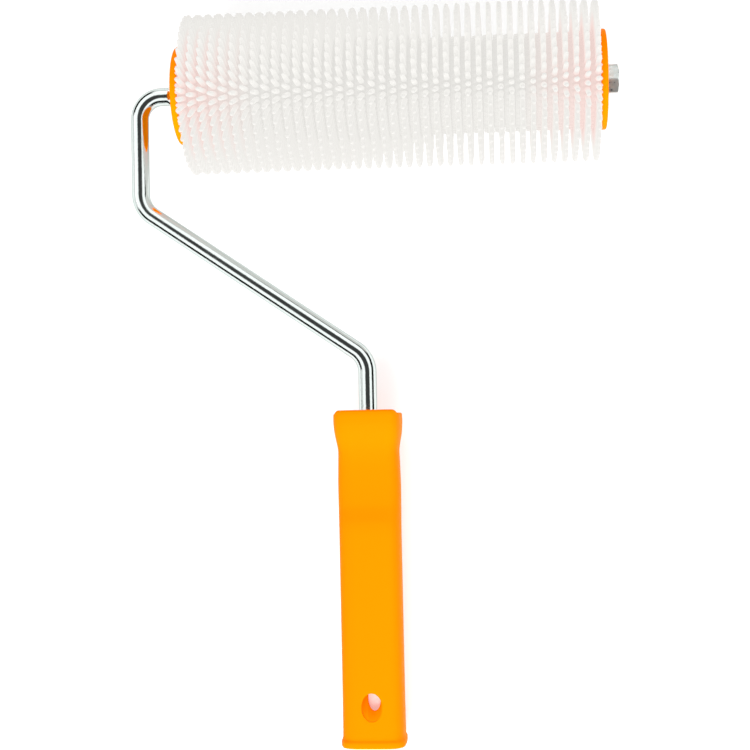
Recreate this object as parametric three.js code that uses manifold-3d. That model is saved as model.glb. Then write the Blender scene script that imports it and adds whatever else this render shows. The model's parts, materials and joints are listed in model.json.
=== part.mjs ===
// Needle roller for self-levelling floors: a bent steel frame carries a roller of needle rings.
// Millimetres, +Z up. The tool rests on a flat surface on its needle tips and its handle's end.
// The tool's own axes: X along the roller, -Y towards the handle, Z square to the plane of the wire.
import * as THREE from 'three';
import Module from 'manifold-3d';

const wasm = await Module();
wasm.setup();

// ---- Driving dimensions ----
const GAP = 0.3; // clearance between neighbouring pieces

const WIRE_RADIUS = 4;
const WIRE_SIDES = 16;
const FRAME_SIDE_X = -112.4; // centreline of the upright beside the roller
const FRAME_ELBOW_Y = -49.75; // where the upright meets the diagonal
const HANDLE_X = -12.65; // the handle's axis
const FRAME_KNEE_Y = -118.75; // where the diagonal meets the handle's axis
const AXLE_BEND_RADIUS = 10;
const FRAME_BEND_RADIUS = 12;
const WIRE_GRIP_DEPTH = 68; // length of wire inside the handle
const EAR_WIDTH = 4.85; // half width of the swaged ears that stop the roller
const EAR_THICKNESS = 3.3; // half thickness of the same
const EAR_LENGTH = 3.6;
const THREAD_CHAMFER = 0.8;

const RING_COUNT = 40;
const RING_PITCH = 4.56;
const SPIKES_PER_RING = 24;
const HUB_OUTER_RADIUS = 20.8;
const HUB_INNER_RADIUS = 19.5;
const TIP_RADIUS = 35.3;

const CORE_OUTER_RADIUS = 19;
const CORE_WALL = 1.4;

const FLANGE_RADIUS = 21.65;
const FLANGE_THICKNESS = 2.85;
const DISH_DEPTH = 3.2;
const DISH_FLAT_RADIUS = 9;
const CAP_BORE_RADIUS = WIRE_RADIUS + GAP;
const CAP_HUB_RADIUS = 8;
const CAP_HUB_LENGTH = 11;
const CAP_WALL = 2;
const DISH_WALL = 3;
const SPIGOT_LENGTH = 28;

const WASHER_RADIUS = 8;
const WASHER_THICKNESS = 1.6;
const NUT_ACROSS_FLATS = 12;
const NUT_THICKNESS = 6.5;
const NUT_TURN = THREE.MathUtils.degToRad(8);

const HANDLE_TOP_Y = -141.8;
const HANDLE_LENGTH = 145.2;
const HANDLE_SIDES = 40;
const RIM_DEPTH = 13.3; // half depth of the rim at the handle's end
const GRIP_SQUARENESS = 4; // superellipse exponent of the grip's section
const COLLAR_SQUARENESS = 5.5; // and of the collar's
const COLLAR_LENGTH = 18;
const LIP_RISE = 1.4; // the collar's front lip stands this much higher than its sides
const LIP_THICKNESS = 3.5;
const LIP_LENGTH = 5; // the difference in height fades out over this length
const SOCKET_RADIUS = 11;
const SOCKET_DEPTH = 62;
const SOCKET_TAPER = 0.5; // the socket's mouth is this much wider in radius
const HANG_HOLE_FROM_END = 17.6;
const HANG_HOLE_FRONT = { halfWidth: 4.5, halfHeight: 6.1 };
const HANG_HOLE_BACK = { halfWidth: 2.8, halfHeight: 5.8 };
const HANG_HOLE_BACK_SHIFT = -0.9;

// The handle's outside, as stations down its length: distance from the top, half width,
// front depth and back depth. The widths come from the collar, neck, thumb recess, grip and rim.
const HANDLE_STATIONS = [
  { at: 0, width: 14.05, front: 16.4, back: 12 },
  { at: 0.5, width: 14.4, front: 16.85, back: 12.45 },
  { at: 1.6, width: 14.5, front: 17, back: 12.6 },
  { at: 5, width: 14.6, front: 16.6, back: 12.6 },
  { at: 8.5, width: 14.45, front: 15.6, back: 12.5 },
  { at: 11.5, width: 14.1, front: 14.3, back: 12.5 },
  { at: 14.5, width: 13.55, front: 12.9, back: 12.4 },
  { at: 18, width: 13.15, front: 11.8, back: 12.4 },
  { at: 24, width: 13.3, front: 10.9, back: 12.4 },
  { at: 33, width: 13.5, front: 10.6, back: 12.5 },
  { at: 41, width: 13.45, front: 10.8, back: 12.5 },
  { at: 45, width: 13.4, front: 11.5, back: 12.5 },
  { at: 49, width: 13.35, front: 12.3, back: 12.5 },
  { at: 54, width: 13.3, front: 12.6, back: 12.5 },
  { at: 85, width: 13.3, front: 12.6, back: 12.6 },
  { at: 120, width: 13.3, front: 12.6, back: 12.6 },
  { at: 141.4, width: 13.45, front: 12.7, back: 12.7 },
  { at: 142.8, width: 14.05, front: RIM_DEPTH, back: RIM_DEPTH },
  { at: 144.5, width: 14.05, front: RIM_DEPTH, back: RIM_DEPTH },
  { at: 145.2, width: 13.75, front: RIM_DEPTH - 0.4, back: RIM_DEPTH - 0.4 },
];

// ---- Derived places ----
const sleeveHalf = (RING_COUNT * RING_PITCH) / 2;
const flangeInnerX = sleeveHalf + GAP / 2;
const flangeOuterX = flangeInnerX + FLANGE_THICKNESS;
const dishX = flangeOuterX - DISH_DEPTH;
const washerX = dishX + GAP;
const nutX = washerX + WASHER_THICKNESS + GAP;
const wireEndX = nutX + NUT_THICKNESS;
const handleEndY = HANDLE_TOP_Y - HANDLE_LENGTH;
const restTilt = Math.asin((TIP_RADIUS - RIM_DEPTH) / -handleEndY);

// ---- Materials ----
const steel = new THREE.MeshStandardMaterial({ color: 0xd2d6d8, roughness: 0.2, metalness: 1 });
const orangePlastic = new THREE.MeshStandardMaterial({ color: 0xffa000, roughness: 0.45 });
const naturalPlastic = new THREE.MeshStandardMaterial({ color: 0xf1efec, roughness: 0.4 });

// ---- Shape helpers ----

/** Points of a loop, one for each of `sides` even turns of the angle. */
function loopOf(sides, pointAt) {
  return Array.from({ length: sides }, (_, i) => pointAt((i / sides) * 2 * Math.PI));
}

/** A closed skin over a row of loops of equal length, closed at both ends on their centres. */
function loft(loops) {
  const sides = loops[0].length;
  const points = loops.flat();
  const faces = [];
  const last = (loops.length - 1) * sides;
  const startCentre = points.push(centreOf(loops[0])) - 1;
  const endCentre = points.push(centreOf(loops[loops.length - 1])) - 1;
  for (let i = 0; i < sides; i++) {
    const j = (i + 1) % sides;
    faces.push(startCentre, j, i, endCentre, last + i, last + j);
    for (let row = 0; row < last; row += sides) {
      faces.push(row + i, row + j, row + sides + j, row + i, row + sides + j, row + sides + i);
    }
  }
  return meshData(points, faces);
}

function centreOf(points) {
  const sum = points.reduce((total, point) => total.add(point), new THREE.Vector3());
  return sum.divideScalar(points.length);
}

function meshData(points, faces) {
  const geometry = new THREE.BufferGeometry().setFromPoints(points);
  geometry.setIndex(faces);
  return geometry;
}

/** A profile of [radius, x] points turned about the X axis. */
function turned(profile, sides) {
  const points = profile.map(([radius, x]) => new THREE.Vector2(radius, x));
  points.push(points[0].clone());
  return new THREE.LatheGeometry(points, sides).rotateZ(-Math.PI / 2);
}

/** A three.js geometry as a manifold solid, with the vertices at equal places merged. */
function toSolid(geometry) {
  const places = new Map();
  const vertices = [];
  const source = geometry.getAttribute('position');
  const vertexAt = (i) => {
    const point = [source.getX(i), source.getY(i), source.getZ(i)];
    const key = point.map((value) => value.toFixed(4)).join();
    if (!places.has(key)) {
      places.set(key, places.size);
      vertices.push(...point);
    }
    return places.get(key);
  };
  const corners = Array.from(geometry.getIndex().array, vertexAt);
  const triangles = [];
  for (let i = 0; i < corners.length; i += 3) {
    const [a, b, c] = corners.slice(i, i + 3);
    if (a !== b && b !== c && c !== a) {
      triangles.push(a, b, c);
    }
  }
  return new wasm.Manifold(new wasm.Mesh({
    numProp: 3,
    vertProperties: new Float32Array(vertices),
    triVerts: new Uint32Array(triangles),
  }));
}

function toGeometry(solid) {
  const mesh = solid.getMesh();
  const geometry = new THREE.BufferGeometry();
  geometry.setAttribute('position', new THREE.BufferAttribute(mesh.vertProperties, 3));
  geometry.setIndex(new THREE.BufferAttribute(mesh.triVerts, 1));
  return geometry;
}

// ---- Wire frame ----

/** Stations along the bent wire: a place, a heading and a half width and half thickness. */
function wireStations() {
  const corners = [
    { x: FRAME_SIDE_X, y: 0, bend: AXLE_BEND_RADIUS },
    { x: FRAME_SIDE_X, y: FRAME_ELBOW_Y, bend: FRAME_BEND_RADIUS },
    { x: HANDLE_X, y: FRAME_KNEE_Y, bend: FRAME_BEND_RADIUS },
  ];
  const start = new THREE.Vector2(wireEndX, 0);
  const end = new THREE.Vector2(HANDLE_X, HANDLE_TOP_Y - WIRE_GRIP_DEPTH);
  const left = new THREE.Vector2(-1, 0);
  const earX = -flangeOuterX - GAP;
  const round = (place, heading, radius = WIRE_RADIUS) => (
    { place, heading, width: radius, thickness: radius });
  const onAxle = (x, width = WIRE_RADIUS, thickness = WIRE_RADIUS) => (
    { place: new THREE.Vector2(x, 0), heading: left, width, thickness });

  const stations = [
    round(start, left, WIRE_RADIUS - THREAD_CHAMFER),
    onAxle(wireEndX - THREAD_CHAMFER),
    onAxle(earX),
    onAxle(earX - 0.3, EAR_WIDTH, EAR_THICKNESS),
    onAxle(earX - 0.6 * EAR_LENGTH, EAR_WIDTH, EAR_THICKNESS),
    onAxle(earX - EAR_LENGTH),
  ];
  let previous = start;
  corners.forEach((corner, index) => {
    const here = new THREE.Vector2(corner.x, corner.y);
    const after = corners[index + 1];
    const next = after ? new THREE.Vector2(after.x, after.y) : end;
    stations.push(...bendStations(previous, here, next, corner.bend).map(
      ({ place, heading }) => round(place, heading)));
    previous = here;
  });
  stations.push(round(end, new THREE.Vector2(0, -1)));
  return stations;
}

/** Places and headings round the arc that joins two straight runs of wire at a corner. */
function bendStations(before, corner, after, radius) {
  const headingIn = corner.clone().sub(before).normalize();
  const headingOut = after.clone().sub(corner).normalize();
  const turn = Math.atan2(headingIn.cross(headingOut), headingIn.dot(headingOut));
  const side = Math.sign(turn);
  const entry = corner.clone().addScaledVector(headingIn, -radius * Math.tan(Math.abs(turn) / 2));
  const toCentre = new THREE.Vector2(-headingIn.y, headingIn.x).multiplyScalar(side * radius);
  const centre = entry.clone().add(toCentre);
  const steps = Math.ceil(Math.abs(turn) / THREE.MathUtils.degToRad(11));
  return Array.from({ length: steps + 1 }, (_, i) => ({
    place: entry.clone().rotateAround(centre, (turn * i) / steps),
    heading: headingIn.clone().rotateAround(new THREE.Vector2(), (turn * i) / steps),
  }));
}

function wireFrame() {
  return loft(wireStations().map(({ place, heading, width, thickness }) => loopOf(
    WIRE_SIDES, (angle) => new THREE.Vector3(
      place.x - heading.y * width * Math.cos(angle),
      place.y + heading.x * width * Math.cos(angle),
      thickness * Math.sin(angle)))));
}

// ---- Handle ----

/** One loop of the handle's outside: a rounded rectangle with its own front and back depth. */
function gripLoop({ at, width, front, back }) {
  const collarShare = Math.max(0, 1 - at / COLLAR_LENGTH);
  const squareness = THREE.MathUtils.lerp(GRIP_SQUARENESS, COLLAR_SQUARENESS, collarShare);
  const power = 2 / squareness;
  return loopOf(HANDLE_SIDES, (angle) => {
    const across = Math.sign(Math.cos(angle)) * Math.abs(Math.cos(angle)) ** power;
    const depth = Math.sign(Math.sin(angle)) * Math.abs(Math.sin(angle)) ** power;
    const z = depth * (depth > 0 ? front : back);
    const topShare = Math.max(0, 1 - at / LIP_LENGTH);
    const behindLip = THREE.MathUtils.smoothstep(front - 1 - z, 0, LIP_THICKNESS);
    const drop = topShare * LIP_RISE * behindLip;
    return new THREE.Vector3(HANDLE_X + width * across, HANDLE_TOP_Y - at - drop, z);
  });
}

function roundLoop(radius, y) {
  return loopOf(HANDLE_SIDES, (angle) => new THREE.Vector3(
    HANDLE_X + radius * Math.cos(angle), y, radius * Math.sin(angle)));
}

/** An oval cutter through the front and back walls, narrower at the back. */
function hangHoleCutter() {
  const y = handleEndY + HANG_HOLE_FROM_END;
  const reach = 1.5 * RIM_DEPTH;
  const ovalAt = (z, x, oval) => loopOf(24, (angle) => new THREE.Vector3(
    x + oval.halfWidth * Math.cos(angle), y + oval.halfHeight * Math.sin(angle), z));
  const backX = HANDLE_X + HANG_HOLE_BACK_SHIFT;
  return loft([ovalAt(-reach, backX, HANG_HOLE_BACK), ovalAt(0, backX, HANG_HOLE_BACK),
    ovalAt(0.01, HANDLE_X, HANG_HOLE_FRONT), ovalAt(reach, HANDLE_X, HANG_HOLE_FRONT)]);
}

function handle() {
  const boreEndY = HANDLE_TOP_Y - WIRE_GRIP_DEPTH - GAP;
  const boreRadius = WIRE_RADIUS + GAP;
  const body = loft([
    roundLoop(boreRadius, boreEndY),
    roundLoop(boreRadius, HANDLE_TOP_Y - LIP_RISE),
    ...HANDLE_STATIONS.map(gripLoop),
    roundLoop(SOCKET_RADIUS + SOCKET_TAPER, handleEndY),
    roundLoop(SOCKET_RADIUS, handleEndY + SOCKET_DEPTH),
  ]);
  return toGeometry(toSolid(body).subtract(toSolid(hangHoleCutter())));
}

// ---- Roller ----

/** A ring of spikes on a thin hub; each spike stands on a whole facet of the hub. */
function needleRing(index) {
  const middle = (index - (RING_COUNT - 1) / 2) * RING_PITCH;
  const half = (RING_PITCH - GAP) / 2;
  const step = (2 * Math.PI) / SPIKES_PER_RING;
  const phase = (index % 2) * (step / 2);
  const at = (x, radius, angle) => new THREE.Vector3(
    x, radius * Math.sin(angle), -radius * Math.cos(angle));
  const points = [];
  const faces = [];
  for (let i = 0; i < SPIKES_PER_RING; i++) {
    const angle = phase + (i - 0.5) * step;
    points.push(
      at(middle - half, HUB_OUTER_RADIUS, angle), at(middle + half, HUB_OUTER_RADIUS, angle),
      at(middle - half, HUB_INNER_RADIUS, angle), at(middle + half, HUB_INNER_RADIUS, angle),
      at(middle, TIP_RADIUS, angle + step / 2));
    const [outA, outB, inA, inB, tip] = [0, 1, 2, 3, 4].map((k) => i * 5 + k);
    const [nextOutA, nextOutB, nextInA, nextInB] = [0, 1, 2, 3].map(
      (k) => ((i + 1) % SPIKES_PER_RING) * 5 + k);
    faces.push(
      tip, outA, nextOutA, tip, nextOutA, nextOutB, tip, nextOutB, outB, tip, outB, outA,
      outA, inA, nextInA, outA, nextInA, nextOutA,
      outB, nextInB, inB, outB, nextOutB, nextInB,
      inA, inB, nextInB, inA, nextInB, nextInA);
  }
  return meshData(points, faces);
}

function coreTube() {
  const half = sleeveHalf - GAP / 2;
  const inner = CORE_OUTER_RADIUS - CORE_WALL;
  return turned([
    [inner, -half], [CORE_OUTER_RADIUS, -half], [CORE_OUTER_RADIUS, half], [inner, half]], 48);
}

/** The end cap for the +X end: dished flange, spigot inside the core, and bearing hub. */
function endCap() {
  const spigot = CORE_OUTER_RADIUS - CORE_WALL - GAP;
  const spigotEnd = flangeInnerX - SPIGOT_LENGTH;
  const web = dishX - DISH_WALL;
  return turned([
    [CAP_BORE_RADIUS, dishX - CAP_HUB_LENGTH],
    [CAP_HUB_RADIUS, dishX - CAP_HUB_LENGTH],
    [CAP_HUB_RADIUS, web],
    [spigot - CAP_WALL, web],
    [spigot - CAP_WALL, spigotEnd],
    [spigot - 0.5, spigotEnd],
    [spigot, spigotEnd + 0.8],
    [spigot, flangeInnerX],
    [FLANGE_RADIUS, flangeInnerX],
    [FLANGE_RADIUS, flangeOuterX - 0.9],
    [FLANGE_RADIUS - 0.9, flangeOuterX],
    [FLANGE_RADIUS - 3.4, flangeOuterX - 0.4],
    [DISH_FLAT_RADIUS + 3, dishX + 0.5],
    [DISH_FLAT_RADIUS, dishX],
    [CAP_BORE_RADIUS, dishX],
  ], 48);
}

// ---- Fasteners ----

function washer() {
  const bore = WIRE_RADIUS + GAP;
  const end = washerX + WASHER_THICKNESS;
  return turned([[bore, washerX], [WASHER_RADIUS, washerX], [WASHER_RADIUS, end], [bore, end]], 32);
}

/** A hex prism with its corners turned off at both ends, bored for the thread. */
function hexNut() {
  const cornerRadius = NUT_ACROSS_FLATS / Math.sqrt(3);
  const chamferRadius = NUT_ACROSS_FLATS / 2 - 0.1;
  const chamfer = 0.9;
  const prism = new THREE.CylinderGeometry(cornerRadius, cornerRadius, NUT_THICKNESS, 6)
    .rotateZ(-Math.PI / 2)
    .rotateX(NUT_TURN)
    .translate(nutX + NUT_THICKNESS / 2, 0, 0);
  const envelope = turned([
    [WIRE_RADIUS + GAP, nutX],
    [chamferRadius, nutX],
    [chamferRadius + 2 * chamfer, nutX + chamfer],
    [chamferRadius + 2 * chamfer, nutX + NUT_THICKNESS - chamfer],
    [chamferRadius, nutX + NUT_THICKNESS],
    [WIRE_RADIUS + GAP, nutX + NUT_THICKNESS],
  ], 36);
  return toGeometry(toSolid(prism).intersect(toSolid(envelope)));
}

// ---- Assembly ----

function addMesh(group, name, geometry, material) {
  const mesh = new THREE.Mesh(geometry, material);
  mesh.name = name;
  group.add(mesh);
  return mesh;
}

function rollerGroup() {
  const roller = new THREE.Group();
  const leftCap = addMesh(roller, 'left_end_cap', endCap(), orangePlastic);
  leftCap.rotation.y = Math.PI;
  addMesh(roller, 'right_end_cap', endCap(), orangePlastic);
  addMesh(roller, 'core_tube', coreTube(), naturalPlastic);
  for (let index = 0; index < RING_COUNT; index++) {
    const name = `needle_ring_${String(index + 1).padStart(2, '0')}`;
    addMesh(roller, name, needleRing(index), naturalPlastic);
  }
  return roller;
}

const tool = new THREE.Group();
tool.add(rollerGroup());
addMesh(tool, 'wire_frame', wireFrame(), steel);
addMesh(tool, 'handle', handle(), orangePlastic);
addMesh(tool, 'washer', washer(), steel);
addMesh(tool, 'hex_nut', hexNut(), steel);
tool.rotation.x = restTilt;

// The part's origin is the middle of its footprint, on the surface that it rests on.
const part = new THREE.Group();
part.add(tool);
const box = new THREE.Box3().setFromObject(part, true);
tool.position.set(-(box.min.x + box.max.x) / 2, -(box.min.y + box.max.y) / 2, -box.min.z);

export default part;
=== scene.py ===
"""Looks of the needle roller: smooth detailed pieces, materials, floor, light and camera.

Shapes are worked out in the tool's own frame, in millimetres: X along the roller, -Y towards the
handle, Z square to the plane of the wire, origin in the middle of the roller's axis. TOOL takes
them to the CAD frame, in metres.
"""

import json
import math
import random

import bmesh
import bpy
from mathutils import Matrix, Vector


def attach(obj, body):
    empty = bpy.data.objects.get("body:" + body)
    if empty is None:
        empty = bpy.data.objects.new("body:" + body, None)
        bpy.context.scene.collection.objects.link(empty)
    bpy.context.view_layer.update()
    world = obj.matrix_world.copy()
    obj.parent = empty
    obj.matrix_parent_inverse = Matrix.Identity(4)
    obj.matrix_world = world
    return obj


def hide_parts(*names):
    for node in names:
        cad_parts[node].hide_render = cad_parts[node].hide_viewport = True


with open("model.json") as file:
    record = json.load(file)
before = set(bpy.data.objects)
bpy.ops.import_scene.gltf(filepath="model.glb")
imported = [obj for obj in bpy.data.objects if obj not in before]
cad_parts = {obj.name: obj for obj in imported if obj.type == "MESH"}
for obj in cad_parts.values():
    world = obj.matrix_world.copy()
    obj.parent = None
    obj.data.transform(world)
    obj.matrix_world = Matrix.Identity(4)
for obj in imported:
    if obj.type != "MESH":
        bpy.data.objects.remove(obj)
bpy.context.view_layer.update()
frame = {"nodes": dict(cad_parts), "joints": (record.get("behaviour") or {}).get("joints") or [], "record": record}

# ---- The tool's frame, from the CAD model ----
MM = 0.001
AXLE = Vector(frame["joints"][0]["pos_m"])
END_NORMAL = Vector(frame["record"]["mounts"][0]["axis"])
TILT = math.atan2(-END_NORMAL.z, -END_NORMAL.y)
TOOL_AXES = Matrix.Translation(AXLE) @ Matrix.Rotation(TILT, 4, "X")
TOOL = TOOL_AXES @ Matrix.Scale(MM, 4)

# ---- Driving dimensions, in millimetres ----
WIRE_RADIUS = 4.0
WIRE_SIDES = 48
AXLE_BEND = 10.0
FRAME_BEND = 12.0
WIRE_CORNERS = [(-112.4, 0.0, AXLE_BEND), (-112.4, -49.75, FRAME_BEND), (-12.65, -118.75, FRAME_BEND)]
WIRE_GRIP_DEPTH = 68.0
AXLE_STEP = 0.25
EAR_BULGE = 0.85
EAR_FLATTENING = 0.8
EAR_LENGTH = 4.6
EAR_ROUNDNESS = 0.6
THREAD_PITCH = 1.25
THREAD_DEPTH = 0.35
THREAD_PAST_WASHER = 6.0
END_CHAMFER = 1.0

CORE_RADIUS = 19.0
CORE_WALL = 1.4
CORE_EDGE = 0.3

FLANGE_RADIUS = 21.65
FLANGE_THICKNESS = 2.85
RIM_INNER_RADIUS = 18.6
SPIGOT_RADIUS = 17.3
SPIGOT_WALL = 2.0
SPIGOT_LENGTH = 28.0
BEARING_BORE = 4.3
BEARING_RADIUS = 8.0
BEARING_LENGTH = 11.0
WEB_THICKNESS = 3.0
DISH_DEPTH = 3.2
# The dished face from the rim to the bearing: distance from the axis, height over the dish's
# floor, and fillet.
DISH_FACE = [(17.2, 1.4, 1.0), (12.5, 0.9, 1.2), (11.2, 0.0, 0.8), (BEARING_BORE, 0.0, 0.4)]

WASHER_BORE = 4.3
WASHER_RADIUS = 8.0
NUT_ACROSS_FLATS = 12.0
# The nut has a corner at this angle from the Y axis, as the CAD nut does.
NUT_TURN = math.radians(38)
NUT_SIDES = 96
NUT_BORE = 4.05
NUT_BORE_CHAMFER = 0.6
NUT_FACE_INSET = 0.1
NUT_CONE_SLOPE = 1.73
NUT_CONE_LEVELS = [0, 0.25, 0.5, 0.75, 1.0, 1.3]

NEEDLES_PER_RING = 48
CELL_TURN = 2 * math.pi / NEEDLES_PER_RING
NEEDLE_SIDES = 8
NEEDLE_LEAN = 0.14
NEEDLE_OFFSET = 0.8
HUB_INNER_RADIUS = 19.4
HUB_OUTER_RADIUS = 20.8
HUB_EDGE = 0.35
TIP_RADIUS = 35.22
TIP_SINK = 0.02

# Distance from the roller's axis, half width along the roller and half width round it:
# a broad foot, then a nearly straight shank and a blunt point.
NEEDLE_PROFILE = [
    (21.2, 1.35, 1.15),
    (21.9, 1.25, 1.12),
    (22.6, 1.2, 1.12),
    (24.0, 1.17, 1.1),
    (27.5, 1.14, 1.04),
    (31.5, 1.06, 0.96),
    (34.0, 0.95, 0.86),
    (34.75, 0.78, 0.7),
    (35.1, 0.45, 0.4),
]
# The feet of the two end rings reach out this far over the flanges, at this distance from the axis.
TOOTH_REACH = 2.85
TOOTH_RADII = (21.72, 22.3)
TOOTH_ARC = 0.5
TOOTH_ROUNDNESS = 0.5

HANDLE_X = -12.65
HANDLE_TOP = -141.8
HANDLE_SIDES = 128
GRIP_SPAN = (20.0, 138.0)
GRIP_STEP = 1.5
FINE_STEP = 0.5
GRIP_SQUARENESS = 4.0
COLLAR_SQUARENESS = 5.5
COLLAR_LENGTH = 18.0
LIP_RISE = 1.4
LIP_THICKNESS = 3.5
LIP_LENGTH = 5.0
SOCKET_RADIUS = 11.0
SOCKET_DEPTH = 62.0
SOCKET_TAPER = 0.5
SOCKET_FLARE = 0.5
MOUTH_CHAMFER = 0.6
WIRE_BORE_PLAY = 0.15
WIRE_END_PLAY = 0.3
HANG_HOLE_FROM_END = 17.6
HANG_HOLE_FRONT = (4.5, 6.1)
HANG_HOLE_BACK = (2.8, 5.8)
HANG_HOLE_BACK_SHIFT = -0.9
HANG_HOLE_EDGE = 0.35
HANG_HOLE_SIDES = 64
CUTTER_REACH = 20.0
PARTING_LINE = 0.1
PARTING_LINE_START = 1.6

# Distance from the top, half width, front depth and back depth, as in the CAD handle.
HANDLE_STATIONS = [
    (0.0, 14.05, 16.4, 12.0),
    (0.5, 14.4, 16.85, 12.45),
    (1.6, 14.5, 17.0, 12.6),
    (5.0, 14.6, 16.6, 12.6),
    (8.5, 14.45, 15.6, 12.5),
    (11.5, 14.1, 14.3, 12.5),
    (14.5, 13.55, 12.9, 12.4),
    (18.0, 13.15, 11.8, 12.4),
    (24.0, 13.3, 10.9, 12.4),
    (33.0, 13.5, 10.6, 12.5),
    (41.0, 13.45, 10.8, 12.5),
    (45.0, 13.4, 11.5, 12.5),
    (49.0, 13.35, 12.3, 12.5),
    (54.0, 13.3, 12.6, 12.5),
    (85.0, 13.3, 12.6, 12.6),
    (120.0, 13.3, 12.6, 12.6),
    (141.4, 13.45, 12.7, 12.7),
    (142.8, 14.05, 13.3, 13.3),
    (144.5, 14.05, 13.3, 13.3),
    (145.2, 13.75, 12.9, 12.9),
]

# A painted orange glow, for the orange spigots showing through, tints the plastic beyond this span from the middle
# and within this radius.
PAINTED_ORANGE_GLOW_SPAN = (58.0, 84.0)
PAINTED_ORANGE_GLOW_RADIUS = (22.5, 30.0)
# Painted glow in the plastic, an emission standing for light through it that evens out its shade, from the hub to
# the needle tips: share of the way, and strength.
PAINTED_GLOW_RADII = (20.5, 35.2)
PAINTED_GLOW_BY_RADIUS = [(0.0, 0.65), (0.2, 0.73), (0.8, 0.74), (1.0, 0.68)]

# ---- Colours: a pair is the two that a material clouds between ----
CHROME_TINTS = ((0.60, 0.66, 0.64), (0.68, 0.72, 0.71))
CHROME_EDGE_TINT = (0.45, 0.52, 0.50)
ZINC_TINTS = ((0.42, 0.46, 0.44), (0.82, 0.88, 0.86))
HANDLE_ORANGES = ((0.9, 0.162, 0.0), (0.92, 0.174, 0.0))
# The caps' orange is the handle's made lighter: painted light that offsets the shade the needles throw on the
# caps.
CAP_ORANGES_LIFTED_FOR_SHADE = ((0.9, 0.19, 0.0), (0.92, 0.205, 0.0))
# Painted glow on the orange plastic, a faint emission that lifts its shade.
ORANGE_PAINTED_GLOW = (1.0, 0.33, 0.0)
ORANGE_PAINTED_GLOW_STRENGTH = 0.12
# The natural plastic away from the spigots and over them: its surface, kept dark, and the painted glow that stands
# for light through it; over the spigots both are tinted by a painted orange glow.
PLASTIC_TINTS = ((0.13, 0.128, 0.124), (0.15, 0.09, 0.08))
PAINTED_GLOW_TINTS = ((0.98, 0.965, 0.93), (1.12, 0.78, 0.73))
# Strength of the painted orange glow over the spigots, on the needles and on the core.
NEEDLE_PAINTED_ORANGE_GLOW = 0.6
CORE_PAINTED_ORANGE_GLOW = 0.9

# ---- Camera: the photograph's viewing angle, in the tool's frame and millimetres ----
CAMERA_LENS = 73.06
CAMERA_DISTANCE = 671.45
CAMERA_TURN = (math.radians(-1.82), math.radians(-4.92), math.radians(1.37))
CAMERA_SHIFT = (6.59, 126.6)

# ---- Floor, in metres ----
FLOOR_REACH = 60.0
FLOOR_GREY = 0.62
FLOOR_GLOW = 0.34

# ---- Light ----
# The surround's greys, by elevation above the horizon in degrees.
WORLD_BANDS = [(-3, 0.6), (-1, 0.01), (27, 0.01), (32, 1.0)]
WORLD_STRENGTH = 1.5
# A dark cloth hangs over the tool: its heading in the CAD frame, and its edge in degrees from that.
CLOTH_HEADING = (0.081, -0.104, 0.991)
CLOTH_EDGE = (24, 31)
CLOTH_GREY = 0.04
# Lamps: name, place and target in metres, width, power in watts, and whether metal mirrors it.
LAMPS = [
    ("key", (-0.15, -1.3, 0.95), (0, 0, 0), 1.5, 46, False),
    ("fill", (1.2, 0.1, 0.45), (0, 0, 0), 0.8, 7, False),
    ("left_card", (-0.5, 0.11, 0.17), (-0.1, 0.11, 0.03), 0.32, 0.26, True),
    ("far_card", (-0.13, 0.52, 0.17), (-0.1, 0.13, 0.03), 0.32, 0.26, True),
]


# ---- Mesh helpers ----

def tool_box(node):
    """Lowest and highest corner of a CAD node in the tool's frame, in millimetres."""
    inverse = TOOL.inverted()
    places = [inverse @ vertex.co for vertex in frame["nodes"][node].data.vertices]
    low = Vector(map(min, *places))
    high = Vector(map(max, *places))
    return low, high


def make_piece(name, points, faces, body, material, nodes, crease=32):
    """A smooth-shaded mesh piece in the CAD frame that rides on a body and stands for CAD nodes."""
    mesh = bpy.data.meshes.new(name)
    mesh.from_pydata([TOOL @ Vector(point) for point in points], [], faces)
    tidy_mesh(mesh, crease)
    piece = bpy.data.objects.new(name, mesh)
    bpy.context.scene.collection.objects.link(piece)
    piece.data.materials.append(material)
    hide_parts(*nodes)
    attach(piece, body)
    return piece


def tidy_mesh(mesh, crease):
    """Merges doubled vertices, turns the faces outwards and shades smooth but for sharp edges."""
    work = bmesh.new()
    work.from_mesh(mesh)
    bmesh.ops.remove_doubles(work, verts=work.verts, dist=2e-6)
    if work.calc_volume(signed=True) < 0:
        bmesh.ops.reverse_faces(work, faces=work.faces)
    work.to_mesh(mesh)
    work.free()
    mesh.shade_smooth()
    mesh.set_sharp_from_angle(angle=math.radians(crease))


def loft(loops):
    """Points and faces of a closed skin over a row of loops of equal length."""
    sides = len(loops[0])
    points = [point for loop in loops for point in loop]
    faces = []
    for row in range(len(loops) - 1):
        for side in range(sides):
            following = (side + 1) % sides
            start = row * sides
            faces.append((start + side, start + following,
                          start + sides + following, start + sides + side))
    faces.append(tuple(reversed(range(sides))))
    faces.append(tuple(range(len(points) - sides, len(points))))
    return points, faces


def turned(profile, sides=96):
    """Points and faces of a closed (radius, x) profile turned about the X axis."""
    points = []
    faces = []
    rows = len(profile)
    for side in range(sides):
        angle = 2 * math.pi * side / sides
        for radius, x in profile:
            points.append((x, radius * math.cos(angle), radius * math.sin(angle)))
        following = (side + 1) % sides
        for row in range(rows):
            below = (row + 1) % rows
            faces.append((side * rows + row, following * rows + row,
                          following * rows + below, side * rows + below))
    return points, faces


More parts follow.
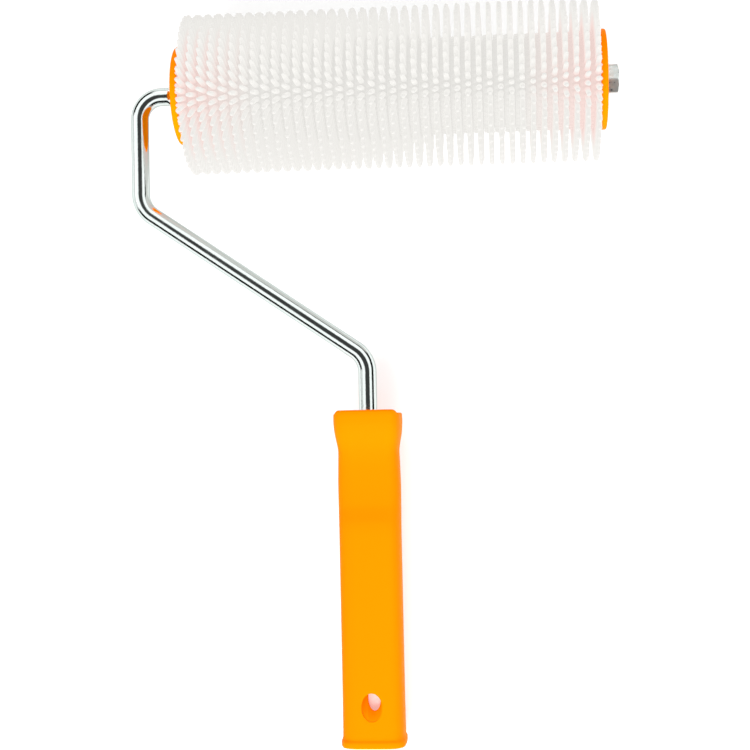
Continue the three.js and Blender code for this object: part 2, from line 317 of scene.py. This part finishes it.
def filleted(corners, steps=5):
    """A closed outline whose (radius, x, fillet) corners are rounded by arcs."""
    outline = []
    for index, (radius, x, fillet) in enumerate(corners):
        here = Vector((radius, x))
        if fillet == 0:
            outline.append(tuple(here))
            continue
        before = Vector(corners[index - 1][:2])
        after = Vector(corners[(index + 1) % len(corners)][:2])
        inward = (before - here).normalized()
        onward = (after - here).normalized()
        half_angle = inward.angle(onward) / 2
        centre = here + (inward + onward).normalized() * (fillet / math.sin(half_angle))
        reach = fillet / math.tan(half_angle)
        start = here + inward * reach - centre
        end = here + onward * reach - centre
        for step in range(steps + 1):
            spoke = start.lerp(end, step / steps).normalized() * fillet
            outline.append(tuple(centre + spoke))
    return outline


# ---- Materials ----

def new_material(name):
    """A material with its nodes, its links and its surface shader."""
    material = bpy.data.materials.new(name)
    material.use_nodes = True
    nodes = material.node_tree.nodes
    return material, nodes, material.node_tree.links, nodes["Principled BSDF"]


def add_node(nodes, kind, **inputs):
    """A node with its inputs set by name, where _ stands for a space."""
    node = nodes.new(kind)
    for name, value in inputs.items():
        node.inputs[name.replace("_", " ")].default_value = value
    return node


def scaled_noise(nodes, links, scale, detail, stretch=(1, 1, 1)):
    """Noise in the piece's own coordinates, stretched along an axis."""
    place = nodes.new("ShaderNodeTexCoord")
    mapping = nodes.new("ShaderNodeMapping")
    mapping.inputs["Scale"].default_value = stretch
    noise = add_node(nodes, "ShaderNodeTexNoise", Scale=scale, Detail=detail)
    links.new(place.outputs["Object"], mapping.inputs["Vector"])
    links.new(mapping.outputs["Vector"], noise.inputs["Vector"])
    return noise.outputs["Fac"]


def ramp_between(nodes, links, source, low, high, from_value=0.3, to_value=0.7):
    """A smooth change from low to high as source goes from one value to another."""
    ramp = nodes.new("ShaderNodeMapRange")
    ramp.inputs["From Min"].default_value = from_value
    ramp.inputs["From Max"].default_value = to_value
    ramp.inputs["To Min"].default_value = low
    ramp.inputs["To Max"].default_value = high
    links.new(source, ramp.inputs["Value"])
    return ramp.outputs["Result"]


def grey_ramp(nodes, stops):
    """A colour ramp of greys, given as (place, grey) stops in rising order."""
    ramp = nodes.new("ShaderNodeValToRGB")
    elements = ramp.color_ramp.elements
    elements[0].position = stops[0][0]
    elements[1].position = stops[-1][0]
    for at, _ in stops[1:-1]:
        elements.new(at)
    for element, (_, grey) in zip(elements, stops):
        element.color = (grey, grey, grey, 1)
    return ramp


def mix_colours(nodes, links, share, first, second):
    """A blend from the first colour to the second as share goes from 0 to 1."""
    mix = nodes.new("ShaderNodeMix")
    mix.data_type = "RGBA"
    mix.inputs["A"].default_value = (*first, 1)
    mix.inputs["B"].default_value = (*second, 1)
    links.new(share, mix.inputs["Factor"])
    return mix


def add_bump(nodes, links, shader, height, strength, distance=0.0002):
    """Fine relief on a shader, with its depth in metres."""
    bump = add_node(nodes, "ShaderNodeBump", Strength=strength, Distance=distance)
    links.new(height, bump.inputs["Height"])
    links.new(bump.outputs["Normal"], shader.inputs["Normal"])


def chrome():
    """Bright plated wire with faint drawing marks and small pits in the plating."""
    material, nodes, links, shader = new_material("chrome")
    shader.inputs["Metallic"].default_value = 1
    shader.inputs["Specular Tint"].default_value = (*CHROME_EDGE_TINT, 1)
    cloud = scaled_noise(nodes, links, 60, 3)
    tint = mix_colours(nodes, links, cloud, *CHROME_TINTS)
    links.new(tint.outputs["Result"], shader.inputs["Base Color"])
    rough = ramp_between(nodes, links, scaled_noise(nodes, links, 220, 4), 0.05, 0.16)
    links.new(rough, shader.inputs["Roughness"])
    add_bump(nodes, links, shader, scaled_noise(nodes, links, 1100, 3), 0.12)
    return material


def zinc():
    """Clouded zinc plating on the washer and nut."""
    material, nodes, links, shader = new_material("zinc")
    shader.inputs["Metallic"].default_value = 1
    cloud = scaled_noise(nodes, links, 350, 4)
    tint = mix_colours(nodes, links, cloud, *ZINC_TINTS)
    links.new(tint.outputs["Result"], shader.inputs["Base Color"])
    rough = ramp_between(nodes, links, scaled_noise(nodes, links, 700, 3), 0.24, 0.4)
    links.new(rough, shader.inputs["Roughness"])
    add_bump(nodes, links, shader, scaled_noise(nodes, links, 1500, 3), 0.12)
    return material


def orange_plastic(name, tints):
    """Satin moulded polypropylene with fine grain, slight flow clouds and a faint painted glow that lifts its
    shade.
    """
    material, nodes, links, shader = new_material(name)
    cloud = scaled_noise(nodes, links, 22, 3, stretch=(1, 0.35, 1))
    tint = mix_colours(nodes, links, cloud, *tints)
    links.new(tint.outputs["Result"], shader.inputs["Base Color"])
    rough = ramp_between(nodes, links, scaled_noise(nodes, links, 500, 4), 0.42, 0.55)
    links.new(rough, shader.inputs["Roughness"])
    shader.inputs["Specular IOR Level"].default_value = 0.01
    # Painted glow: a faint orange emission that lifts the shade on the moulding.
    shader.inputs["Emission Color"].default_value = (*ORANGE_PAINTED_GLOW, 1)
    shader.inputs["Emission Strength"].default_value = ORANGE_PAINTED_GLOW_STRENGTH
    add_bump(nodes, links, shader, scaled_noise(nodes, links, 2600, 2), 0.1)
    return material


def natural_plastic(name, glow):
    """Milky natural plastic with a painted glow, standing for light through it, set by distance from the axis, and
    a painted orange glow near both ends for the orange spigots showing through.

    The painted orange glow fades outwards from the axis, and glow is its strength over the spigots.
    """
    material, nodes, links, shader = new_material(name)
    place = nodes.new("ShaderNodeTexCoord")
    from_axle = nodes.new("ShaderNodeVectorMath")
    from_axle.operation = "SUBTRACT"
    from_axle.inputs[1].default_value = AXLE
    links.new(place.outputs["Object"], from_axle.inputs[0])
    around = measured(nodes, links, from_axle.outputs[0], (0, 1, 1))
    along = measured(nodes, links, from_axle.outputs[0], (1, 0, 0))
    # Painted orange glow: strongest near the axis and over the spigots at both ends.
    inside = ramp_between(nodes, links, around, 1, 0, PAINTED_ORANGE_GLOW_RADIUS[0] * MM, PAINTED_ORANGE_GLOW_RADIUS[1] * MM)
    near_end = ramp_between(nodes, links, along, 0, glow, PAINTED_ORANGE_GLOW_SPAN[0] * MM, PAINTED_ORANGE_GLOW_SPAN[1] * MM)
    share = nodes.new("ShaderNodeMath")
    share.operation = "MULTIPLY"
    links.new(inside, share.inputs[0])
    links.new(near_end, share.inputs[1])
    tint = mix_colours(nodes, links, share.outputs[0], *PLASTIC_TINTS)
    links.new(tint.outputs["Result"], shader.inputs["Base Color"])
    # Painted glow: emission that stands for light through the plastic and evens out its shade.
    painted_glow = mix_colours(nodes, links, share.outputs[0], *PAINTED_GLOW_TINTS)
    links.new(painted_glow.outputs["Result"], shader.inputs["Emission Color"])
    # Painted glow by distance from the axis: stronger on the shanks, weaker at the hub and the tips, to even out
    # their shade and highlights.
    radius = ramp_between(nodes, links, around, 0, 1, PAINTED_GLOW_RADII[0] * MM, PAINTED_GLOW_RADII[1] * MM)
    lit = grey_ramp(nodes, PAINTED_GLOW_BY_RADIUS)
    links.new(radius, lit.inputs["Fac"])
    links.new(lit.outputs["Color"], shader.inputs["Emission Strength"])
    rough = ramp_between(nodes, links, scaled_noise(nodes, links, 300, 3), 0.4, 0.6)
    links.new(rough, shader.inputs["Roughness"])
    shader.inputs["Specular IOR Level"].default_value = 0.12
    add_bump(nodes, links, shader, scaled_noise(nodes, links, 900, 2), 0.08)
    return material


def measured(nodes, links, vector, axes):
    """Length of a vector along the chosen axes."""
    kept = nodes.new("ShaderNodeVectorMath")
    kept.operation = "MULTIPLY"
    kept.inputs[1].default_value = axes
    links.new(vector, kept.inputs[0])
    length = nodes.new("ShaderNodeVectorMath")
    length.operation = "LENGTH"
    links.new(kept.outputs[0], length.inputs[0])
    return length.outputs["Value"]


# ---- Wire frame ----

def wire_path():
    """Places and headings along the wire's centreline, from its threaded end to the handle."""
    low, high = tool_box("wire_frame")
    ends = [Vector((high.x, 0)), Vector((HANDLE_X, HANDLE_TOP - WIRE_GRIP_DEPTH))]
    corners = [Vector(corner[:2]) for corner in WIRE_CORNERS]
    route = [ends[0], *corners, ends[1]]
    path = straight_run(route[0], corners[0])
    for index, (_, _, bend) in enumerate(WIRE_CORNERS):
        path += bend_run(route[index], route[index + 1], route[index + 2], bend)
    path.append((ends[1], Vector((0, -1))))
    return path


def straight_run(start, end):
    """Close stations over the axle, where the thread and the swaged ears are."""
    heading = (end - start).normalized()
    cap_low, _ = tool_box("left_end_cap")
    reach = start.x - cap_low.x + 1.5 * EAR_LENGTH
    count = int(reach / AXLE_STEP)
    return [(start + heading * reach * i / count, heading) for i in range(count + 1)]


def bend_run(before, corner, after, radius, steps=26):
    """Stations round one bend."""
    heading_in = (corner - before).normalized()
    heading_out = (after - corner).normalized()
    turn = math.atan2(heading_in.cross(heading_out), heading_in.dot(heading_out))
    entry = corner - heading_in * (radius * math.tan(abs(turn) / 2))
    side = math.copysign(1, turn)
    centre = entry + Vector((-heading_in.y, heading_in.x)) * (side * radius)
    run = []
    for step in range(steps + 1):
        rotation = Matrix.Rotation(turn * step / steps, 2)
        run.append((centre + rotation @ (entry - centre), rotation @ heading_in))
    return run


def ear_share(x, cap_edge):
    """1 in the middle of the swaged ears and 0 away from them."""
    along = (cap_edge - x) / EAR_LENGTH
    if not 0 < along < 1:
        return 0.0
    return math.sin(math.pi * along) ** EAR_ROUNDNESS


def build_wire(material):
    """The bent rod, with a turned thread at its free end and swaged ears beside the left cap."""
    cap_edge = tool_box("left_end_cap")[0].x - 0.1
    end_x = tool_box("wire_frame")[1].x
    thread_start = tool_box("washer")[0].x - THREAD_PAST_WASHER
    loops = []
    for place, heading in wire_path():
        straight = abs(place.y) < 1e-6 and abs(heading.y) < 1e-6
        bulge = EAR_BULGE * ear_share(place.x, cap_edge) if straight else 0
        loop = []
        for side in range(WIRE_SIDES):
            angle = 2 * math.pi * side / WIRE_SIDES
            radius = WIRE_RADIUS
            if straight and place.x > thread_start:
                turns = place.x / THREAD_PITCH - side / WIRE_SIDES
                radius -= THREAD_DEPTH * abs(2 * (turns % 1) - 1)
                radius = min(radius, WIRE_RADIUS - END_CHAMFER + (end_x - place.x))
            across = (radius + bulge) * math.cos(angle)
            depth = (radius - EAR_FLATTENING * bulge) * math.sin(angle)
            loop.append((place.x - heading.y * across, place.y + heading.x * across, depth))
        loops.append(loop)
    points, faces = loft(loops)
    make_piece("wire_frame_bent_rod", points, faces, "frame", material,
               ["wire_frame"], crease=40)


# ---- Handle ----

def between_stations(at):
    """Half width, front depth and back depth at a distance from the top, on a smooth curve."""
    last = len(HANDLE_STATIONS) - 1
    index = next(i for i in range(1, last + 1) if at <= HANDLE_STATIONS[i][0])
    first, second = HANDLE_STATIONS[index - 1], HANDLE_STATIONS[index]
    span = second[0] - first[0]
    share = (at - first[0]) / span
    values = []
    for k in (1, 2, 3):
        slope_in = station_slope(index - 1, k) * span
        slope_out = station_slope(index, k) * span
        values.append(hermite(first[k], slope_in, second[k], slope_out, share))
    return values


def station_slope(index, k):
    """The curve's slope at a station: flat at peaks, and gentle between unequal steps."""
    if index in (0, len(HANDLE_STATIONS) - 1):
        return 0.0
    before, here, after = HANDLE_STATIONS[index - 1:index + 2]
    left = (here[k] - before[k]) / (here[0] - before[0])
    right = (after[k] - here[k]) / (after[0] - here[0])
    if left * right <= 0:
        return 0.0
    return 2 * left * right / (left + right)


def hermite(start, slope_in, end, slope_out, share):
    """A smooth cubic step from start to end with the given slopes at its ends."""
    square = share * share
    cube = square * share
    return ((2 * cube - 3 * square + 1) * start + (cube - 2 * square + share) * slope_in
            + (3 * square - 2 * cube) * end + (cube - square) * slope_out)


def grip_loop(at):
    """The handle's outline at a distance from its top, with the front lip and parting line."""
    width, front, back = between_stations(at)
    collar_share = max(0, 1 - at / COLLAR_LENGTH)
    power = 2 / (GRIP_SQUARENESS + (COLLAR_SQUARENESS - GRIP_SQUARENESS) * collar_share)
    loop = []
    for side in range(HANDLE_SIDES):
        angle = 2 * math.pi * side / HANDLE_SIDES
        across = math.copysign(abs(math.cos(angle)) ** power, math.cos(angle))
        depth = math.copysign(abs(math.sin(angle)) ** power, math.sin(angle))
        z = depth * (front if depth > 0 else back)
        on_parting_line = side % (HANDLE_SIDES // 2) == 0 and at > PARTING_LINE_START
        ridge = PARTING_LINE if on_parting_line else 0
        behind_lip = min(1, max(0, (front - 1 - z) / LIP_THICKNESS))
        drop = max(0, 1 - at / LIP_LENGTH) * LIP_RISE * behind_lip ** 2 * (3 - 2 * behind_lip)
        loop.append((HANDLE_X + (width + ridge) * across, HANDLE_TOP - at - drop, z))
    return loop


def round_loop(radius, y):
    """A circle about the handle's axis."""
    return [(HANDLE_X + radius * math.cos(2 * math.pi * side / HANDLE_SIDES), y,
             radius * math.sin(2 * math.pi * side / HANDLE_SIDES)) for side in range(HANDLE_SIDES)]


def handle_levels(length):
    """Distances from the top: close together at the collar and rim, and wider on the grip."""
    levels = [station[0] for station in HANDLE_STATIONS]
    dense = []
    for low, high in zip(levels, levels[1:]):
        on_grip = high >= GRIP_SPAN[0] and low <= GRIP_SPAN[1]
        count = max(2, round((high - low) / (GRIP_STEP if on_grip else FINE_STEP)))
        dense += [low + (high - low) * i / count for i in range(count)]
    return [*dense, length]


def oval_cutter(end_y):
    """An oval plug through the front and back walls, narrower at the back."""
    middle = end_y + HANG_HOLE_FROM_END
    back_x = HANDLE_X + HANG_HOLE_BACK_SHIFT
    levels = [
        (-CUTTER_REACH, back_x, HANG_HOLE_BACK),
        (0, back_x, HANG_HOLE_BACK),
        (0.01, HANDLE_X, HANG_HOLE_FRONT),
        (CUTTER_REACH, HANDLE_X, HANG_HOLE_FRONT),
    ]
    loops = []
    for z, x, (half_width, half_height) in levels:
        loop = []
        for side in range(HANG_HOLE_SIDES):
            turn = 2 * math.pi * side / HANG_HOLE_SIDES
            loop.append((x + half_width * math.cos(turn), middle + half_height * math.sin(turn), z))
        loops.append(loop)
    return loft(loops)


def cut_and_soften(piece, cutter_points, cutter_faces, edge):
    """Cuts a plug out of a piece and rounds the sharp edges that are left."""
    mesh = bpy.data.meshes.new("cutter")
    mesh.from_pydata([TOOL @ Vector(point) for point in cutter_points], [], cutter_faces)
    tidy_mesh(mesh, 32)
    cutter = bpy.data.objects.new("cutter", mesh)
    bpy.context.scene.collection.objects.link(cutter)
    boolean = piece.modifiers.new("cut", "BOOLEAN")
    boolean.object = cutter
    boolean.solver = "EXACT"
    bevel = piece.modifiers.new("soften", "BEVEL")
    bevel.width = edge * MM
    bevel.segments = 3
    bevel.limit_method = "ANGLE"
    bevel.angle_limit = math.radians(50)
    graph = bpy.context.evaluated_depsgraph_get()
    result = bpy.data.meshes.new_from_object(piece.evaluated_get(graph))
    piece.modifiers.clear()
    piece.data = result
    bpy.data.objects.remove(cutter)
    result.shade_smooth()
    result.set_sharp_from_angle(angle=math.radians(40))


def build_handle(material):
    """The hollow moulding: the wire's bore, the outer skin, the pole socket and the hanging hole."""
    end_y = tool_box("handle")[0].y
    bore = WIRE_RADIUS + WIRE_BORE_PLAY
    loops = [round_loop(bore, HANDLE_TOP - WIRE_GRIP_DEPTH - WIRE_END_PLAY),
             round_loop(bore, HANDLE_TOP - LIP_RISE - MOUTH_CHAMFER),
             round_loop(bore + MOUTH_CHAMFER, HANDLE_TOP - LIP_RISE)]
    loops += [grip_loop(at) for at in handle_levels(HANDLE_STATIONS[-1][0])]
    loops += [round_loop(SOCKET_RADIUS + SOCKET_TAPER + SOCKET_FLARE, end_y),
              round_loop(SOCKET_RADIUS + SOCKET_TAPER, end_y + MOUTH_CHAMFER),
              round_loop(SOCKET_RADIUS, end_y + SOCKET_DEPTH)]
    points, faces = loft(loops)
    piece = make_piece("handle_moulding", points, faces, "frame", material,
                       ["handle"], crease=40)
    cut_and_soften(piece, *oval_cutter(end_y), HANG_HOLE_EDGE)


# ---- Roller ----

def ring_point(x, radius, angle):
    """A point at an angle round the axle from straight down."""
    return (x, radius * math.sin(angle), -radius * math.cos(angle))


def add_loop(points, loop):
    """Adds a loop of points and gives the number of its first one."""
    points.extend(loop)
    return len(points) - len(loop)


def needle_ring_mesh(middle, half_width, phase, tooth_side, seed):
    """A hub of cells, each drawn up into one round needle that leans a little its own way.

    On tooth_side, 1 or -1 along the roller, each needle's foot has a tooth; 0 means no teeth.
    """
    rng = random.Random(seed)
    points = []
    faces = []
    for index in range(NEEDLES_PER_RING):
        angle = phase + index * CELL_TURN
        lean = (rng.gauss(0, NEEDLE_LEAN), rng.gauss(0, NEEDLE_LEAN / TIP_RADIUS))
        add_needle(points, faces, middle, half_width, angle, lean, tooth_side)
        add_hub_walls(points, faces, middle, half_width, angle)
    return points, faces


def add_needle(points, faces, middle, half_width, angle, lean, tooth_side):
    """The outer face of one hub cell, drawn up through the needle's profile to its tip."""
    lean_x, lean_turn = lean
    root = middle + NEEDLE_OFFSET
    starts = [add_loop(points, [
        ring_point(middle + half_width * u, HUB_OUTER_RADIUS, angle + CELL_TURN / 2 * v)
        for u, v in cell_border()])]
    for radius, half_x, half_turn in NEEDLE_PROFILE:
        curve = ((radius - HUB_OUTER_RADIUS) / (TIP_RADIUS - HUB_OUTER_RADIUS)) ** 2
        toothed = TOOTH_RADII[0] < radius < TOOTH_RADII[1]
        loop = []
        for side in range(NEEDLE_SIDES):
            turn = 2 * math.pi * side / NEEDLE_SIDES
            x = root + lean_x * curve + half_x * math.cos(turn)
            if toothed and tooth_side * math.cos(turn) > TOOTH_ARC:
                x = middle + tooth_side * TOOTH_REACH * abs(math.cos(turn)) ** TOOTH_ROUNDNESS
            place = angle + lean_turn * curve + half_turn * math.sin(turn) / radius
            loop.append(ring_point(x, radius, place))
        starts.append(add_loop(points, loop))
    for low_row, high_row in zip(starts, starts[1:]):
        for side in range(NEEDLE_SIDES):
            following = (side + 1) % NEEDLE_SIDES
            faces.append((low_row + side, low_row + following,
                          high_row + following, high_row + side))
    tip = add_loop(points, [ring_point(root + lean_x, TIP_RADIUS - TIP_SINK, angle + lean_turn)])
    for side in range(NEEDLE_SIDES):
        faces.append((starts[-1] + side, starts[-1] + (side + 1) % NEEDLE_SIDES, tip))


def cell_border():
    """Places round the edge of a hub cell, one for each side of its needle."""
    border = []
    for side in range(NEEDLE_SIDES):
        turn = 2 * math.pi * side / NEEDLE_SIDES
        largest = max(abs(math.cos(turn)), abs(math.sin(turn)))
        border.append((round(math.cos(turn) / largest, 6), round(math.sin(turn) / largest, 6)))
    return border


def add_hub_walls(points, faces, middle, half_width, angle):
    """The two sides and the inner wall of one hub cell."""
    section = [
        (-half_width, HUB_OUTER_RADIUS),
        (-half_width, HUB_OUTER_RADIUS - HUB_EDGE),
        (-half_width + HUB_EDGE, HUB_INNER_RADIUS),
        (0, HUB_INNER_RADIUS),
        (half_width - HUB_EDGE, HUB_INNER_RADIUS),
        (half_width, HUB_OUTER_RADIUS - HUB_EDGE),
        (half_width, HUB_OUTER_RADIUS),
    ]
    for low, high in ((-1, 0), (0, 1)):
        rows = [add_loop(points, [ring_point(middle + x, radius, angle + CELL_TURN / 2 * edge)
                                  for x, radius in section]) for edge in (low, high)]
        for k in range(len(section) - 1):
            faces.append((rows[0] + k, rows[1] + k, rows[1] + k + 1, rows[0] + k + 1))


def build_rings(material):
    """The needle rings, each turned by half a needle's step from the ones beside it."""
    names = sorted(name for name in frame["nodes"] if name.startswith("needle_ring_"))
    tooth_sides = {0: -1, len(names) - 1: 1}
    for index, name in enumerate(names):
        low, high = tool_box(name)
        middle = (low.x + high.x) / 2
        half_width = (high.x - low.x) / 2
        phase = (index % 2) * math.pi / NEEDLES_PER_RING
        points, faces = needle_ring_mesh(middle, half_width, phase, tooth_sides.get(index, 0),
                                         seed=index)
        make_piece(name + "_moulding", points, faces, "roller", material,
                   [name], crease=50)


def build_core(material):
    """The tube that carries the rings."""
    low, high = tool_box("core_tube")
    inner = CORE_RADIUS - CORE_WALL
    corners = [
        (inner, low.x, CORE_EDGE),
        (CORE_RADIUS, low.x, CORE_EDGE),
        (CORE_RADIUS, high.x, CORE_EDGE),
        (inner, high.x, CORE_EDGE),
    ]
    points, faces = turned(filleted(corners, steps=3), 96)
    make_piece("core_tube_moulding", points, faces, "roller", material, ["core_tube"])


def build_end_cap(node, material):
    """Dished flange, spigot and bearing, with rounded moulded edges."""
    low, high = tool_box(node)
    side = 1 if high.x > 0 else -1
    outer_x = max(abs(low.x), abs(high.x))
    inner_x = outer_x - FLANGE_THICKNESS
    dish_x = outer_x - DISH_DEPTH
    web_x = dish_x - WEB_THICKNESS
    spigot_x = inner_x - SPIGOT_LENGTH
    spigot_bore = SPIGOT_RADIUS - SPIGOT_WALL
    corners = [
        (BEARING_BORE, dish_x - BEARING_LENGTH, 0.3),
        (BEARING_RADIUS, dish_x - BEARING_LENGTH, 0.5),
        (BEARING_RADIUS, web_x, 0.6),
        (spigot_bore, web_x, 0.6),
        (spigot_bore, spigot_x, 0.4),
        (SPIGOT_RADIUS, spigot_x, 0.8),
        (SPIGOT_RADIUS, inner_x, 0.2),
        (FLANGE_RADIUS, inner_x, 0.3),
        (FLANGE_RADIUS, outer_x, 0.8),
        (RIM_INNER_RADIUS, outer_x, 0.8),
        *[(radius, dish_x + height, fillet) for radius, height, fillet in DISH_FACE],
    ]
    profile = [(radius, side * x) for radius, x in filleted(corners)]
    points, faces = turned(profile, 128)
    make_piece(node + "_moulding", points, faces, "roller", material,
               [node], crease=50)


# ---- Fasteners ----

def build_washer(material):
    """A flat washer with its outer edges a little rounder than its bore's."""
    low, high = tool_box("washer")
    corners = [
        (WASHER_BORE, low.x, 0.15),
        (WASHER_RADIUS, low.x, 0.3),
        (WASHER_RADIUS, high.x, 0.3),
        (WASHER_BORE, high.x, 0.15),
    ]
    points, faces = turned(filleted(corners, 3), 96)
    make_piece("washer_plated", points, faces, "frame", material, ["washer"])


def nut_loop(x, largest_radius):
    """The nut's hexagon cut back to a circle, which for a radius under the flats is all circle."""
    loop = []
    for side in range(NUT_SIDES):
        angle = 2 * math.pi * side / NUT_SIDES
        from_flat = (angle - NUT_TURN) % (math.pi / 3) - math.pi / 6
        radius = min(NUT_ACROSS_FLATS / 2 / math.cos(from_flat), largest_radius)
        loop.append((x, radius * math.cos(angle), radius * math.sin(angle)))
    return loop


def build_nut(material):
    """A hex nut whose corners are turned off by a cone at each end."""
    low, high = tool_box("hex_nut")
    thickness = high.x - low.x
    heights = [*NUT_CONE_LEVELS, thickness / 2]
    heights += [thickness - height for height in reversed(NUT_CONE_LEVELS)]
    loops = []
    for height in heights:
        from_face = min(height, thickness - height)
        cone_radius = NUT_ACROSS_FLATS / 2 - NUT_FACE_INSET + from_face * NUT_CONE_SLOPE
        loops.append(nut_loop(low.x + height, cone_radius))
    mouth = NUT_BORE + NUT_BORE_CHAMFER
    for x, radius in ((high.x, mouth), (high.x - NUT_BORE_CHAMFER, NUT_BORE),
                      (low.x + NUT_BORE_CHAMFER, NUT_BORE), (low.x, mouth)):
        loops.append(nut_loop(x, radius))
    points, faces = loft([*loops, loops[0]])
    without_end_faces = faces[:-2]
    make_piece("hex_nut_plated", points, without_end_faces, "frame", material,
               ["hex_nut"], crease=25)


# ---- Stage ----

def build_floor():
    """A wide pale sheet under the tool."""
    mesh = bpy.data.meshes.new("floor")
    reach = FLOOR_REACH
    mesh.from_pydata([(-reach, -reach, 0), (reach, -reach, 0), (reach, reach, 0), (-reach, reach, 0)],
                     [], [(0, 1, 2, 3)])
    floor = bpy.data.objects.new("floor", mesh)
    bpy.context.scene.collection.objects.link(floor)
    material, _, _, shader = new_material("floor_paper")
    shader.inputs["Base Color"].default_value = (FLOOR_GREY, FLOOR_GREY, FLOOR_GREY, 1)
    shader.inputs["Roughness"].default_value = 0.8
    shader.inputs["Emission Color"].default_value = (1, 1, 1, 1)
    shader.inputs["Emission Strength"].default_value = FLOOR_GLOW
    mesh.materials.append(material)


def build_world():
    """Soft studio surround: bright walls over a dark skirting, and a dark cloth overhead.

    The plated metal mirrors the skirting and the cloth as its dark stripes.
    """
    world = bpy.data.worlds.new("studio")
    bpy.context.scene.world = world
    world.use_nodes = True
    nodes, links = world.node_tree.nodes, world.node_tree.links
    place = nodes.new("ShaderNodeTexCoord")
    split = nodes.new("ShaderNodeSeparateXYZ")
    ramp = grey_ramp(nodes, [(0.5 + 0.5 * math.sin(math.radians(elevation)), grey)
                             for elevation, grey in WORLD_BANDS])
    links.new(place.outputs["Generated"], split.inputs["Vector"])
    height = ramp_between(nodes, links, split.outputs["Z"], 0, 1, -1, 1)
    links.new(height, ramp.inputs["Fac"])
    overhead = nodes.new("ShaderNodeVectorMath")
    overhead.operation = "DOT_PRODUCT"
    overhead.inputs[1].default_value = Vector(CLOTH_HEADING).normalized()
    links.new(place.outputs["Generated"], overhead.inputs[0])
    inner, outer = [math.cos(math.radians(angle)) for angle in CLOTH_EDGE]
    share = ramp_between(nodes, links, overhead.outputs["Value"], 0, 1, outer, inner)
    cloth = mix_colours(nodes, links, share, (1, 1, 1), (CLOTH_GREY,) * 3)
    links.new(ramp.outputs["Color"], cloth.inputs["A"])
    links.new(cloth.outputs["Result"], nodes["Background"].inputs["Color"])
    nodes["Background"].inputs["Strength"].default_value = WORLD_STRENGTH


def add_area_light(name, place, target, size, power, mirrored):
    """A round lamp that the camera doesn't see, and that metal shows only if it is mirrored."""
    light = bpy.data.lights.new(name, "AREA")
    light.shape = "DISK"
    light.size = size
    light.energy = power
    lamp = bpy.data.objects.new(name, light)
    bpy.context.scene.collection.objects.link(lamp)
    lamp.visible_camera = False
    lamp.visible_glossy = mirrored
    lamp.location = place
    lamp.rotation_euler = (Vector(target) - Vector(place)).to_track_quat("-Z", "Y").to_euler()


def add_camera():
    """A camera over the tool, a little turned and tilted, as in the photograph."""
    turn_x, turn_y, turn_z = CAMERA_TURN
    view = (Matrix.Rotation(turn_z, 4, "Z") @ Matrix.Rotation(turn_y, 4, "Y")
            @ Matrix.Rotation(turn_x, 4, "X"))
    back = view.inverted()
    place = back @ Vector((-CAMERA_SHIFT[0], -CAMERA_SHIFT[1], CAMERA_DISTANCE))
    data = bpy.data.cameras.new("camera")
    data.lens = CAMERA_LENS
    data.sensor_width = 36
    data.clip_start = 0.01
    camera = bpy.data.objects.new("camera", data)
    bpy.context.scene.collection.objects.link(camera)
    camera.matrix_world = TOOL_AXES @ Matrix.Translation(place * MM) @ back
    bpy.context.scene.camera = camera


def main():
    add_camera()
    build_world()
    build_floor()
    for lamp in LAMPS:
        add_area_light(*lamp)
    bpy.context.scene.view_settings.view_transform = "Standard"

    wire_metal = chrome()
    plated = zinc()
    handle_orange = orange_plastic("handle_orange", HANDLE_ORANGES)
    cap_orange = orange_plastic("cap_orange", CAP_ORANGES_LIFTED_FOR_SHADE)
    needle_plastic = natural_plastic("needle_plastic", NEEDLE_PAINTED_ORANGE_GLOW)
    core_plastic = natural_plastic("core_plastic", CORE_PAINTED_ORANGE_GLOW)
    build_wire(wire_metal)
    build_handle(handle_orange)
    build_core(core_plastic)
    build_rings(needle_plastic)
    build_end_cap("left_end_cap", cap_orange)
    build_end_cap("right_end_cap", cap_orange)
    build_washer(plated)
    build_nut(plated)


main()
